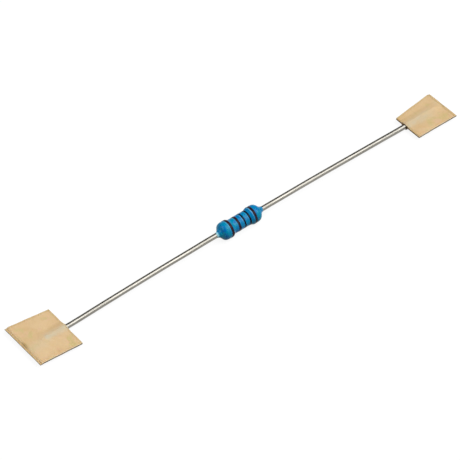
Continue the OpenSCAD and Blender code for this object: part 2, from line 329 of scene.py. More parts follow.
print("groups so far:", len(bpy.data.node_groups))

# %% [markdown]
# Both effects start from the same stretched noise. `clouds` cuts it into a mask between two levels, and
# `fine_relief` uses it as the height of a bump.

# %% Build the clouds and the fine relief
FLOAT, VECTOR = "NodeSocketFloat", "NodeSocketVector"
clouds, given, result = new_group(
    "clouds", {"Place": VECTOR, "Size": FLOAT, "Stretch": FLOAT, "Low": FLOAT, "High": FLOAT},
    {"Mask": FLOAT})
cloud = stretched_noise(clouds, given, 3.0)
spread = add(clouds, "ShaderNodeMapRange", {0: cloud, 1: given["Low"], 2: given["High"]},
             interpolation_type="SMOOTHSTEP")
clouds.links.new(spread.outputs[0], result.inputs["Mask"])

fine_relief, given, result = new_group(
    "fine_relief", {"Place": VECTOR, "Size": FLOAT, "Stretch": FLOAT, "Depth": FLOAT}, {"Normal": VECTOR})
grain = stretched_noise(fine_relief, given, 2.0)
depth = add(fine_relief, "ShaderNodeMath", {0: given["Depth"], 1: MM}, operation="MULTIPLY").outputs[0]
tilted = add(fine_relief, "ShaderNodeBump", {"Height": grain, "Distance": depth})
fine_relief.links.new(tilted.outputs[0], result.inputs["Normal"])
print("shared effects:", [group.name for group in bpy.data.node_groups])

# %% [markdown]
# Most finishes here are two tones in soft patches under a grain, so one function makes those.

# %% Place the effects in a finish
def cloud_mask(tree, place, size, stretch=1.0, low=0.4, high=0.6):
    """Soft patches of a size in millimetres: 0 below `low` of the noise, 1 above `high`."""
    return add(tree, "ShaderNodeGroup", {"Place": place, "Size": size, "Stretch": stretch, "Low": low,
                                         "High": high}, node_tree=clouds).outputs["Mask"]


def grain_normal(tree, place, size, depth, stretch=1.0):
    """A grain of a size and depth in millimetres, as a normal."""
    return add(tree, "ShaderNodeGroup", {"Place": place, "Size": size, "Stretch": stretch,
                                         "Depth": depth}, node_tree=fine_relief).outputs["Normal"]


def two_tone_finish(name, patches, tones, grain, **constants):
    """A finish whose colour wanders between two tones. `patches` and `grain` are settings of the effects."""
    finish, tree, shader = new_finish(name, **constants)
    place = place_mm(tree)
    tone = mix_colours(tree, cloud_mask(tree, place, **patches), *tones)
    tree.links.new(tone, shader.inputs["Base Color"])
    tree.links.new(grain_normal(tree, place, **grain), shader.inputs["Normal"])
    return finish, tree, shader


print("nodes in the groups:", [len(group.nodes) for group in bpy.data.node_groups])

# %% [markdown]
# ## The finishes of the body
#
# The resin is a glossy blue epoxy that is cured after dipping. Its colour is nearly even, with slightly
# greener and deeper clouds. Two masks that the coat's own points carry make it paler in places: `thin`,
# where it runs out along the wire and the metal shines through, and a painted highlight, a narrow pale
# line beside each band, brightest on top, that stands in for the glints there. The ink of the bands is
# brown or black, a little patchy, and less glossy than the resin.

# %% Mix the resin and the inks
resin, tree, shader = new_finish("blue_epoxy", Roughness=0.34, Specular_IOR_Level=0.12)
place = place_mm(tree)
tint = mix_colours(tree, cloud_mask(tree, place, 1.3, low=0.38, high=0.66),
                   screen(0, 124, 178), screen(0, 142, 170))
tint = mix_colours(tree, cloud_mask(tree, place, 0.6, low=0.5, high=0.72), tint, screen(0, 106, 180))
# Painted highlight: a pale line beside each band, brightest on top, in place of glints.
tint = mix_colours(tree, attribute(tree, "painted_glint"), tint, screen(120, 186, 212))
tint = mix_colours(tree, attribute(tree, "thin"), tint, screen(150, 208, 222))
tree.links.new(tint, shader.inputs["Base Color"])
tree.links.new(grain_normal(tree, place, 0.22, 0.006), shader.inputs["Normal"])
tree.links.new(between(tree, cloud_mask(tree, place, 0.5), 0.24, 0.32), shader.inputs["Roughness"])

ink = dict(patches=dict(size=0.3), grain=dict(size=0.12, depth=0.004), Roughness=0.3, Specular_IOR_Level=0.07)
brown_ink = two_tone_finish("brown_ink", tones=[screen(34, 21, 33), screen(48, 28, 39)], **ink)[0]
black_ink = two_tone_finish("black_ink", tones=[screen(0, 5, 18), screen(2, 12, 32)], **ink)[0]

# %% [markdown]
# ## The resin coat
#
# On the real part the resin is applied in layers round a rod with a pressed steel cap at each end. It
# shrinks between the caps, which gives the dog-bone outline, and creeps a little way out along the
# wires. The axis, the radii of the film and the caps, and the ends are read from the measured pieces.

# %% Measure what the coat covers
core_low, core_high = box_mm("ceramic_core")
axis_z = (core_low[2] + core_high[2]) / 2
film_r = np.ptp(box_mm("metal_film"), axis=0)[2] / 2
cap_r = np.ptp(box_mm("end_cap_right"), axis=0)[2] / 2
cap_mouth_x, cap_face_x = (corner[0] for corner in box_mm("end_cap_right"))
coat_end_x = box_mm("epoxy_coat")[1][0]
lead_r, weld_r, weld_t, neck_l = 0.325, 0.45, 0.08, 0.12
print("the axis is", round(axis_z, 3), "mm up, and the coat ends", round(coat_end_x, 3), "mm out")

# %% [markdown]
# The outline is one radius for each place along the axis: a waist, a slope up to each cap, a rounded end,
# and a collar that runs out on the wire. A turned outline could be made with a screw modifier, but a grid
# lets every point sink by its own small amount, which makes the highlights waver.

# %% Work out the coat's outline
waist_r, bulge_left_r, bulge_right_r = 0.955, 1.155, 1.13
shoulder_x, shoulder_l = 1.15, 0.52
foot_left_x, dome_left_l = 2.99, 0.8
foot_right_x, dome_right_l = 3.06, 0.9
dome_power = 2.6
collar_l, collar_rise, collar_fade, coat_lip, collar_blend = 0.6, 0.28, 0.48, 0.01, 6


def past_foot(x):
    """How far a place lies beyond the foot of the dome on its side."""
    return np.abs(x) - np.where(x < 0, foot_left_x, foot_right_x)


def coat_radius(x):
    """Radius of the resin: waist + slope times a rounded end (1 - (1 - depth/length)^p)^(1/p), joined to
    the collar by (a^6 + b^6)^(1/6)."""
    side, depth = x < 0, -past_foot(x)
    bulge = np.where(side, bulge_left_r, bulge_right_r)
    trunk = waist_r + (bulge - waist_r) * ease((np.abs(x) - shoulder_x) / shoulder_l)
    into = np.clip(depth / np.where(side, dome_left_l, dome_right_l), 0, 1)
    dome = (1 - (1 - into) ** dome_power) ** (1 / dome_power)
    rise = collar_rise * np.clip(1 + depth / collar_l, 0, 1) ** 2
    collar = (lead_r + coat_lip + rise) * (1 - ease(depth / collar_fade))
    return ((trunk * dome) ** collar_blend + collar ** collar_blend) ** (1 / collar_blend)


girth = coat_radius(np.array([-2.0, 0.0, 2.0]))
print("its radius is", girth.round(3), "mm at the left cap, the middle and the right cap")

# %% [markdown]
# Cured resin is never quite round. It has broad shallow dips with finer ones in them, and by the
# rightmost band it has shrunk a little more, which leaves a groove.

# %% Let the resin dip
broad_dip, broad_dip_w, fine_dip, fine_dip_w, even_lip_l = 0.010, 1.7, 0.004, 0.7, 0.5
groove_x, groove_w, groove_t = 1.92, 0.15, 0.02


def round_axis(x, radius, angle):
    """Points at a place along the body, a radius from its axis and an angle from +Y up to +Z."""
    return np.stack(np.broadcast_arrays(x, radius * np.cos(angle), axis_z + radius * np.sin(angle)), -1)


def resin_dips(x, angle):
    """How far the resin lies below its outline: broad plus fine dips, none at its lips, plus the groove."""
    place = np.stack(np.broadcast_arrays(x, np.cos(angle), np.sin(angle)), -1)
    relief = broad_dip * unevenness(3, place, broad_dip_w) + fine_dip * unevenness(4, place, fine_dip_w)
    return relief * ease((coat_end_x - np.abs(x)) / even_lip_l) + groove_t * hill(x - groove_x, groove_w)


print("the groove is", groove_t, "mm deep and", 2 * groove_w, "mm wide")

# %% [markdown]
# The coat is a closed shell: its rows run along the outside from left to right and come back along what
# the resin covers, which is the wire, the weld, the cap and the film. At the lips the resin's edge is
# not straight, so the rows past the foot of each dome are drawn back by an amount that varies round the
# wire.

# %% Lay out the coat's shell
angle_count, station_count = 160, 281
angles = np.linspace(0, 2 * np.pi, angle_count, endpoint=False)[None, :]
stations = (coat_end_x * np.sin(np.linspace(-np.pi / 2, np.pi / 2, station_count)))[:, None]
drawn_back, most_drawn_back, lip_wave = 0.12, 0.25, 1.6


def ragged_lip(x, angle):
    """Past the dome's foot, places are drawn back toward it by a share that varies round the wire, up to a
    quarter of their distance."""
    past = np.maximum(past_foot(x), 0)
    ring = np.stack(np.broadcast_arrays(2 * np.sign(x), np.cos(angle), np.sin(angle)), -1)
    share = drawn_back * (1 + unevenness(8, ring, lip_wave))
    return x - np.sign(x) * past * np.clip(share, 0, most_drawn_back)


outer_r = coat_radius(stations) - resin_dips(stations, angles)
outside = round_axis(ragged_lip(stations, angles), outer_r, angles)
head_x, press_r = cap_face_x + weld_t, 0.1
press_cut = 0.3 * press_r
covered = np.array([[coat_end_x, lead_r], [head_x + neck_l, lead_r], [head_x, weld_r], [cap_face_x, weld_r],
                    [cap_face_x, cap_r - press_r], [cap_face_x - press_cut, cap_r - press_cut],
                    [cap_face_x - press_r, cap_r], [cap_mouth_x, cap_r], [cap_mouth_x, film_r]])
covered = np.concatenate([covered, covered[::-1] * [-1, 1]])
inside = round_axis(ragged_lip(covered[:, :1], angles), covered[:, 1:], angles)
print("rows outside and inside:", len(outside), len(inside))

# %% [markdown]
# Two masks go with the shell. `thin` grows past the foot of the left dome, where the resin on the wire is
# almost clear, and only a little past the right one. The other is a painted highlight, a narrow pale line
# on the left of each band where glints would be. It is strongest on top, where the light falls, and fades
# with the square of the sine of the angle.

# %% Make the coat
unseen = np.zeros(inside.shape[:2])
thin_from, thin_ramp, thin_left, thin_right = 0.25, 0.2, 1.0, 0.1
thinning = ease((past_foot(stations) - thin_from) / thin_ramp) * np.where(stations < 0, thin_left, thin_right)
thin = np.concatenate([thinning * np.ones_like(angles), unseen])
# The painted highlight beside each band: its strength for each band, its width and its offset.
glint_beside = {"tolerance_band": 0.5, "multiplier_band": 0.25, "third_digit_band": 0.5,
                 "second_digit_band": 0.2, "first_digit_band": 0.75}
glint_w, glint_off = 0.09, 0.02
band_edges = np.array([box_mm(node)[0][0] for node in glint_beside])
glint_lines = hill(stations - band_edges + glint_off, glint_w) * list(glint_beside.values())
painted_glint = np.concatenate([glint_lines.sum(1, keepdims=True) * np.clip(np.sin(angles), 0, 1) ** 2, unseen])
coat = surface("coat_of_resin", np.concatenate([outside, inside]), wrap_rows=True, wrap_columns=True,
               masks={"thin": thin, "painted_glint": painted_glint})
stands_for(coat, "epoxy_coat", resin)

# %% [markdown]
# ## The colour bands
#
# Each band is printed by rolling the body against an inked wheel. The ink stands a fiftieth of a
# millimetre proud, dries a little thicker near its edges, and its edges wander. The print drifts
# slightly on its way round, so that its end meets its start with a small step. A band could be painted
# as a stripe in the resin's material, but real ink has an edge that catches the light, so each band is a
# closed ring of its own that follows the coat's surface, dips included.

# %% Print the bands
ink_t, ink_under, print_shift = 0.02, 0.002, 0.03
print_drift, print_overlap, print_starts, rows_across = 0.03, 0.03, (0.6, 0.85), 19
edge_inset, edge_waver, edge_wave = 0.012, 0.010, 0.5


def band_ring(name, node, seed, finish):
    """A ring of ink: rows run across the band on its face and come back on the resin. The thickness is
    ink_t times 0.8 at the middle, 1 near the edges and half at the rims. The drift grows round the body
    and falls back over the last bit of the turn, where the print meets its start."""
    low, high = box_mm(node)
    middle, half = (low[0] + high[0]) / 2 + print_shift, (high[0] - low[0]) / 2
    rng = np.random.default_rng(seed)
    round_part = (angles / (2 * np.pi) - rng.uniform(*print_starts)) % 1
    meets = ease((round_part - 1 + print_overlap) / print_overlap)
    drift = print_drift * (round_part - meets - 0.5)
    ring = np.stack(np.broadcast_arrays(seed, np.cos(angles), np.sin(angles)), -1)
    across = np.sin(np.linspace(-np.pi / 2, np.pi / 2, rows_across))[:, None]
    wander = np.where(across < 0, unevenness(seed, ring, edge_wave), unevenness(seed + 50, ring, edge_wave))
    x = middle + drift + across * (half - edge_inset + edge_waver * wander)
    dried = 0.8 + 0.2 * np.abs(across) ** 3 - 0.5 * np.abs(across) ** 16
    resin_r = coat_radius(x) - resin_dips(x, angles)
    face, back = resin_r + ink_t * dried, resin_r - ink_under
    points = np.concatenate([round_axis(x, face, angles), round_axis(x, back, angles)[::-1]])
    ring_piece = surface(name, points, wrap_rows=True, wrap_columns=True)
    stands_for(ring_piece, node, finish)


band_ring("tolerance_ink", "tolerance_band", 21, brown_ink)
band_ring("multiplier_ink", "multiplier_band", 22, brown_ink)
band_ring("third_digit_ink", "third_digit_band", 23, black_ink)
band_ring("second_digit_ink", "second_digit_band", 24, black_ink)
band_ring("first_digit_ink", "first_digit_band", 25, brown_ink)

# %% [markdown]
# ## The wire's finish
#
# The leads are copper wire with a coat of tin, drawn through a die. Drawing leaves fine streaks along
# the wire, so both the grain and the patches of duller tin are stretched many times along X. Tin is
# softer and greyer than chrome, with a slightly warm tone.

# %% Mix the tinned wire
tinned, tree, shader = two_tone_finish(
    "tinned_wire", patches=dict(size=0.12, stretch=30, low=0.35, high=0.7),
    tones=[screen(143, 140, 133), screen(130, 127, 119)],
    grain=dict(size=0.05, depth=0.002, stretch=60), Metallic=1.0, Roughness=0.5)
dull = cloud_mask(tree, place_mm(tree), 0.25, stretch=12, low=0.4, high=0.65)
tree.links.new(between(tree, dull, 0.30, 0.38), shader.inputs["Roughness"])

# %% [markdown]
# ## The leads
#
# A lead starts as a flattened head that is welded to the cap, leaves the body level, bends down very
# gently, and levels out between the layers of tape. Its line lies in a plane through the body's axis
# that is turned a little, because the wire enters the tape slightly behind the body's axis. Wire off a
# reel keeps a trace of its curl, so between the body and the tape it also bows up by a fraction of a
# millimetre, and sways a little.

# %% Work out a lead's line
wire_z, bend_r, run_in, stub = 0.455, 60.0, 0.3, 0.12
tape_in_x = 26.25
line_steps, line_from, tip_round = 260, 0.25, 0.03


def lead_line(wire_in, wire_y):
    """Places along the lead, the line's heading below level there, and its points in its own plane.
    The heading rises to the slope along one arc, stays, and falls back along the other. The slope is
    what takes two arcs and a straight down by the drop: atan2(L, 2R - D) - acos(2R / hypot(2R - D, L))."""
    drop = math.hypot(axis_z - wire_z, wire_y)
    bend_in, bend_out = coat_end_x + stub, tape_in_x - run_in
    length, both = bend_out - bend_in, 2 * bend_r
    slope = math.atan2(length, both - drop) - math.acos(both / math.hypot(both - drop, length))
    arc = bend_r * slope
    straight = (length - 2 * bend_r * math.sin(slope)) / math.cos(slope)
    total = (bend_in - cap_face_x) + 2 * arc + straight + run_in + wire_in
    head = [0.0, weld_t * 0.5, weld_t, weld_t + neck_l / 2, weld_t + neck_l]
    shank = np.linspace(line_from, total - 2 * tip_round, line_steps)
    along = np.concatenate([head, shank, [total - tip_round, total]])
    first = bend_in - cap_face_x
    heading = np.clip((along - first) / arc, 0, 1) - np.clip((along - first - arc - straight) / arc, 0, 1)
    heading *= slope
    step, middle = np.diff(along), (heading[1:] + heading[:-1]) / 2
    x = cap_face_x + np.concatenate([[0], np.cumsum(step * np.cos(middle))])
    down = np.concatenate([[0], np.cumsum(step * np.sin(middle))])
    return along, heading, x, down


left_wire_in, left_wire_y, left_rise = 3.0, 0.05, 0.10
right_wire_in, right_wire_y, right_rise = 4.8, 0.35, 0.30
print("the left lead comes down by", lead_line(left_wire_in, left_wire_y)[3][-1].round(3), "mm")

# %% [markdown]
# A curve object with a bevel would give the tube, but not the head, so the tube is a circle carried along
# the line, with a radius for each place. It is worked out for the right side, and the left one is mirrored.

# %% Carry a circle along each lead
circle_steps, bow_power = 64, 1.4
sway_y, sway_l, sway_from, sway_to, sway_ramp = 0.012, 9.0, 1.0, 1.5, 3.0


def lead_tube(name, node, side, wire_in, wire_y, rise, seed):
    """A circle carried along the line, square to it: centre + r (n cos a - b sin a). The centre bows up by
    rise * sin(pi * share of the way from body to tape)^1.4, and the tip is rounded."""
    along, heading, x, down = lead_line(wire_in, wire_y)
    free = ease((x - coat_end_x - sway_from) / sway_ramp) * ease((tape_in_x - sway_to - x) / sway_ramp)
    line = np.stack([along, np.full_like(along, seed), np.zeros_like(along)], -1)
    sway = sway_y * unevenness(seed, line, sway_l) * free
    share = np.clip((x - coat_end_x) / (tape_in_x - coat_end_x), 0, 1)
    bow = rise * np.sin(np.pi * share) ** bow_power
    radius = np.interp(along, [0, weld_t, weld_t + neck_l], [weld_r, weld_r, lead_r])
    radius -= tip_round * ease((along - along[-1] + tip_round) / tip_round)
    turn = np.linspace(0, 2 * np.pi, circle_steps, endpoint=False)[None, :]
    normal = np.stack([np.sin(heading), np.zeros_like(heading), np.cos(heading)], -1)[:, None]
    beside = np.array([0.0, 1.0, 0.0])
    centre = np.stack([x, sway, bow - down], -1)[:, None]
    ring = radius[:, None, None] * (normal * np.cos(turn)[..., None] - beside * np.sin(turn)[..., None])
    points = centre + ring
    lean = math.atan2(wire_y, axis_z - wire_z)
    turned = points @ np.array([[1, 0, 0], [0, math.cos(lean), math.sin(lean)],
                                [0, -math.sin(lean), math.cos(lean)]])
    turned[..., 2] += axis_z
    if side < 0:
        turned = turned[:, ::-1] * [-1, 1, 1]
    tube = surface(name, turned, wrap_columns=True, poles=True)
    stands_for(tube, node, tinned)
    print("  the measured lead is", np.ptp(box_mm(node), axis=0).round(2), "mm")


lead_tube("left_wire", "lead_left", -1, left_wire_in, left_wire_y, left_rise, 31)
lead_tube("right_wire", "lead_right", 1, right_wire_in, right_wire_y, right_rise, 32)

# %% [markdown]
# ## The paper's finish
#
# The tape is brown kraft paper with a thin gum on it. Seen close, its colour is a mottle of golden,
# pinkish and olive patches, with fibres that mostly lie along the reel. Thin paper also passes a little
# light on inside itself, which softens every shade on it, so the shader has some subsurface scattering.
# Masks that the paper's points carry add what handling did and painted light. A paler streak over the wire
# is partly scuffing and partly a painted highlight. A darker mask holds edge wear, painted shade behind
# the ridge and a painted shadow at the outer edge. `cut` marks the raw edge, painted dark as shade, and a
# pale line along the front edge is a painted highlight.

# %% Mix the kraft paper
kraft, tree, shader = new_finish("kraft_tape", Roughness=0.62, Specular_IOR_Level=0.3,
                                 Subsurface_Weight=0.5, Subsurface_Scale=0.18 * MM,
                                 Subsurface_Radius=(1.0, 0.85, 0.7))
place = place_mm(tree)
tone = mix_colours(tree, cloud_mask(tree, place, 2.6, low=0.36, high=0.64),
                   screen(211, 179, 134), screen(217, 188, 145))
tone = mix_colours(tree, cloud_mask(tree, place, 1.1, low=0.52, high=0.72), tone, screen(218, 184, 147))
patch_shift = (11.0, 2.0, 4.0)
elsewhere = add(tree, "ShaderNodeVectorMath", {0: place, 1: patch_shift}).outputs[0]
tone = mix_colours(tree, cloud_mask(tree, elsewhere, 1.3, low=0.52, high=0.74), tone, screen(203, 183, 129))
fibres, fibre_share = cloud_mask(tree, place, 0.22, stretch=0.3, low=0.3, high=0.7), 0.05
tone = mix_colours(tree, fibres, tone, mix_colours(tree, fibre_share, tone, screen(120, 84, 40)))
# Partly scuffing, partly a painted highlight on the ridge over the wire.
tone = mix_colours(tree, attribute(tree, "scuff_and_highlight"), tone, screen(199, 190, 165))
# Handling wear at the edges, plus painted shade behind the ridge and a painted shadow at the outer edge.
tone = mix_colours(tree, attribute(tree, "wear_and_shade"), tone, screen(162, 140, 86))
# Painted shade: the cut rims are made dark brown.
tone = mix_colours(tree, attribute(tree, "cut"), tone, screen(66, 38, 18))
# Painted highlight: a pale line along the upper layer's front edge.
tone = mix_colours(tree, attribute(tree, "front_edge_highlight"), tone, screen(246, 234, 208))
tree.links.new(tone, shader.inputs["Base Color"])
tree.links.new(grain_normal(tree, place, 0.16, 0.02, stretch=0.35), shader.inputs["Normal"])

# %% [markdown]
# ## The tapes
#
# Each tape is two layers of paper with the wire's end between them. Each layer bends half-way round the
# wire, so there is a low ridge on top and another underneath, and both run out past the wire's tip. The
# tape stands on the lower ridge. A layer is a flat tube: its columns run across the tape on the underside
# and come back on the top, and its rows run along the wire. Cloth simulation could drape the paper, but
# paper pressed round a wire has a plain section: an arc on the wire, and a straight flank down to each
# side.

# %% Describe the paper
tape_w, paper_t, paper_clear = 6.0, 0.12, 0.01
upper_half_w, lower_half_w, ridge_ramp, past_tip, fold_blend = 0.88, 0.5, 1.4, 0.05, 0.1


def smooth_max(first, second, blend):
    """The larger of two heights, with the corner between them filled by a parabola."""
    near = np.maximum(blend - np.abs(first - second), 0) / blend
    return np.maximum(first, second) + near * near * blend / 4


def ridge_height(v, thick, level, half_w):
    """Height of a layer's face over the wire's middle, v to the side of it: an arc of radius r = wire +
    clearance + thickness, then a flank that touches the arc and reaches the wing's level at half_w, at the
    angle asin(clear radius / distance) - atan(level / half_w), then the wing."""
    v, r = np.abs(v), lead_r + paper_clear + thick
    flank = np.arcsin((lead_r + paper_clear) / np.hypot(half_w, level)) - np.arctan2(level, half_w)
    arc = np.sqrt(np.maximum(r * r - v * v, 0))
    slope = (r - v * np.sin(flank)) / np.cos(flank)
    return smooth_max(np.where(v < r * np.sin(flank), arc, slope), level + thick, fold_blend)


peak = ridge_height(np.array([0.0, upper_half_w]), paper_t, 0.1, upper_half_w)
print("the ridge stands", round(float(peak[0] - peak[1]), 3), "mm above the paper beside it")

# %% [markdown]
# The two tapes are cut by hand, so their sizes differ: how far the paper reaches behind and in front of
# the axis at its inner and outer edge, how much shorter the upper layer is at either edge, and how far
# the edges lean. The cut edges waver a little. The last row and column at each edge sit a hair inside
# the faces, which rounds the rim of the paper, and the mask `cut` marks them.

# %% Cut the paper
rim, rows_along, columns_across = 0.015, 119, 139
cut_waver, cut_wave = 0.012, 0.8


def sheet_grid(cut, start, end, seed):
    """Rows along the wire and columns across, from the front edge to the back edge, with one more row and
    column just inside each edge. The third array is the reach of the wing on each point's side."""
    along = np.concatenate([[start], np.linspace(start + rim, end - rim, rows_along), [end]])[:, None]
    edge = np.stack([along, np.full_like(along, seed), np.zeros_like(along)], -1)
    front = cut["front_in"] + (cut["front_out"] - cut["front_in"]) * along / tape_w
    back = cut["back_in"] + (cut["back_out"] - cut["back_in"]) * along / tape_w
    front -= cut_waver * (1 + unevenness(seed, edge, cut_wave))
    back -= cut_waver * (1 + unevenness(seed + 1, edge, cut_wave))
    share = np.linspace(0, 1, columns_across)[None, :]
    across = -front + rim + (front + back - 2 * rim) * share
    across = np.concatenate([-front, across, back], axis=1)
    reach = np.where(across < cut["wire_y"], front + cut["wire_y"], back - cut["wire_y"])
    return along + 0 * across, across, reach


def paper_sheet(name, node, cut, side, under, top, along, across, rim_shade, masks):
    """Closes an underside and a top into one sheet, and rounds and marks its cut rims. The left tape is a
    mirror image, so its columns run the other way round."""
    raw = np.zeros_like(along)
    raw[[0, -1]] = raw[:, [0, -1]] = 1
    x = side * (tape_in_x + along - across * math.tan(math.radians(cut["lean"])))
    low, high = np.stack([x, across, under + rim * raw], -1), np.stack([x, across, top - rim * raw], -1)
    points = np.concatenate([low, high[:, ::-1]], axis=1)[:, ::side]
    values = {mask: np.concatenate([0 * value, value[:, ::-1]], axis=1)[:, ::side]
              for mask, value in masks.items()}
    # The cut rims are painted dark, as shade on the sheet's edge.
    values["cut"] = rim_shade * np.concatenate([raw, raw[:, ::-1]], axis=1)[:, ::side]
    sheet = surface(name, points, wrap_columns=True, folded=True, masks=values)
    stands_for(sheet, node, kraft)


print("a layer has", rows_along + 2, "rows of", 2 * (columns_across + 2), "points")

# %% [markdown]
# Handling and painted light leave their marks on the upper layer. Over the wire lies a paler, greyer
# streak, with a spot at the wire's tip and a faint trail past it: partly scuffing, partly a painted
# highlight on the ridge's lit front and the wire's end. Behind the wire the paper is darker, as painted
# shade on the ridge's back flank. The back and inner edges are darker with handling, and at the outer
# edge there is a painted shadow where the edge stands off, and on the right tape a darker line along
# that edge. A pale line along the front edge is a painted highlight. Each mark is a smooth hill of a
# stated width, and three masks add them up. They could be painted by hand on an image, but then they
# would not follow the wire when its size changes.

# %% Mark the wear
streak_least, streak_wave, streak_past_tip = 0.75, 0.8, 0.3
spot_before_tip, spot_in_front, spot_w, spot_longer = 0.2, 0.15, 0.6, 0.8
trail_in_front, trail_w, trail_ramp = 0.5, 1.4, 0.6
back_shade_behind, back_shade_w, back_shade_ramp = 0.8, 0.5, 0.9
back_wear, back_at, back_w = 0.3, 0.12, 0.3
inner_wear, inner_at, inner_w = 0.35, 0.1, 0.25
outer_at, outer_w, edge_shadow_l, edge_shadow_w = 0.1, 0.22, 0.5, 1.0
front_highlight_share, front_highlight_w = 0.5, 0.08


def wear(cut, along, v, across, flat):
    """The upper layer's masks. `along` runs from the inner edge, `v` and `across` run back from the wire
    and from the body's axis, and `flat` is where the unevenness is read."""
    past_tip_by = along - cut["wire_in"]
    # The streak over the wire is partly scuffing and partly a painted highlight on the ridge's lit front and
    # at the wire's tip.
    streak_waver = streak_least + (1 - streak_least) * unevenness(71, flat, streak_wave)
    over_wire = 1 - ease((past_tip_by - streak_past_tip + cut["fade"]) / cut["fade"])
    streak = cut["streak"] * hill(v - cut["streak_v"], cut["streak_w"]) * over_wire * streak_waver
    from_spot = np.hypot((past_tip_by + spot_before_tip) * spot_longer, v + spot_in_front)
    trail = cut["trail"] * hill(v + trail_in_front, trail_w) * ease(past_tip_by / trail_ramp)
    scuff_and_highlight = np.maximum(np.maximum(streak, cut["spot"] * hill(from_spot, spot_w)), trail)
    # Painted shade on the ridge's back flank, behind the wire.
    back_shade = cut["wear_and_shade"] * hill(v - back_shade_behind, back_shade_w) * (1 - ease(past_tip_by / back_shade_ramp))
    from_back, from_outer = across.max(1, keepdims=True) - across, tape_w - cut["short_out"] - along
    handled = (back_wear * hill(from_back - back_at, back_w) + inner_wear * hill(along - inner_at, inner_w)
               + cut["out_line"] * hill(from_outer - outer_at, outer_w))
    # Painted shadow on the outer edge, where it stands off the lower layer.
    edge_shadow = cut["edge_shadow"] * hill(from_outer, edge_shadow_l) * hill(across - cut["loose_y"], edge_shadow_w)
    wear_and_shade = np.maximum(np.maximum(back_shade, handled), np.maximum(edge_shadow, cut["dull"]))
    # The front-edge mask is a painted highlight along the upper layer's front rim.
    return {"scuff_and_highlight": np.clip(scuff_and_highlight, 0, 1), "wear_and_shade": np.clip(wear_and_shade, 0, 1),
            "front_edge_highlight": front_highlight_share * hill(across - across[:, :1], front_highlight_w)}


print("the marks fade out within", front_highlight_w, "to", trail_w, "mm")

# %% [markdown]
# The two layers meet a little above the wire's middle, and both wave gently. Between glue spots the upper
# layer stands off the lower one by a few hundredths of a millimetre, most of all along its free outer
# edge, which is pressed thinner. The lower layer reaches further out, so it shows there as a narrow
# ledge that is darker towards its outer edge, and its outer corners sag. Its raw edge is painted dark
# all the way, as shade on the cut rim, and the upper one's only faintly.

# %% Shape one layer
wave_h, wave_l, stand_off, stand_off_l = 0.02, 3.5, 0.006, 1.3
corner_sag, loose_from = 0.03, 2.0
loose_edge_l, loose_edge_w, pressed_thinner, pressed_l = 1.1, 1.3, 0.06, 0.3
ledge_share, ledge_l, lower_rim_shade, upper_rim_shade = 0.4, 0.4, 1.0, 0.1


def layer(which, side, cut, upper, seed):
    """One layer of a tape. Its faces lie over or under the wire's middle by the height of the ridge, which
    runs out past the wire's tip. The wings' level rises along the tape, and the lower layer's outer
    corners sag by corner_sag * (share of the way out)^3 * (share of the wing)^4."""
    start, end = (cut["short_in"], tape_w - cut["short_out"]) if upper else (0.0, tape_w)
    along, across, reach = sheet_grid(cut, start, end, seed + 7 * upper)
    v = across - cut["wire_y"]
    half_w = upper_half_w if upper else lower_half_w
    wing = np.clip((np.abs(v) - half_w) / (reach - half_w), 0, 1)
    flat = np.stack([along, across, np.full_like(along, seed)], -1)
    off_wire = np.minimum(wing * 2, 1)
    wave = wave_h * (1 + unevenness(seed + 2, flat, wave_l)) * off_wire
    level = cut["level_in"] + (cut["level_out"] - cut["level_in"]) * along / tape_w
    lift = 1 - ease((along - cut["wire_in"] - past_tip) / ridge_ramp)
    rim_of_wing = level if upper else -level
    ridge_in, ridge_out = (ridge_height(v, thick, rim_of_wing, half_w) - rim_of_wing
                           for thick in (0.0, paper_t))
    inner = rim_of_wing + lift * ridge_in
    outer = rim_of_wing + paper_t + lift * (ridge_out - paper_t)
    if not upper:
        outward = np.clip((along - loose_from) / (tape_w - loose_from), 0, 1)
        middle = wire_z + wave - corner_sag * outward ** 3 * wing ** 4
        ledge = ledge_share * hill(tape_w - along, ledge_l)
        paper_sheet(f"{which}_lower_paper", f"tape_{which}_lower", cut, side, middle - outer,
                    middle - inner, along, across, lower_rim_shade, {"wear_and_shade": ledge})
        return
    loose = stand_off * (1 + unevenness(seed + 3, flat, stand_off_l)) * off_wire
    from_outer = tape_w - cut["short_out"] - along
    edge = cut["loose_edge"] * hill(from_outer, loose_edge_l) * hill(across - cut["loose_y"], loose_edge_w)
    middle = wire_z + wave + loose + edge
    outer = outer - pressed_thinner * hill(from_outer, pressed_l)
    paper_sheet(f"{which}_upper_paper", f"tape_{which}_upper", cut, side, middle + inner, middle + outer,
                along, across, upper_rim_shade, wear(cut, along, v, across, flat))


print("the wings wave by up to", 2 * wave_h, "mm, and the corners sag by", corner_sag, "mm")

# %% [markdown]
# What is left is to say how each tape was cut and how worn it is. Lengths are millimetres, `lean` is
# degrees, and the strengths of the marks run from 0 to 1. The left tape has a clear streak that ends in a
# spot at the wire's tip. The right tape's streak is broad and fades slowly.

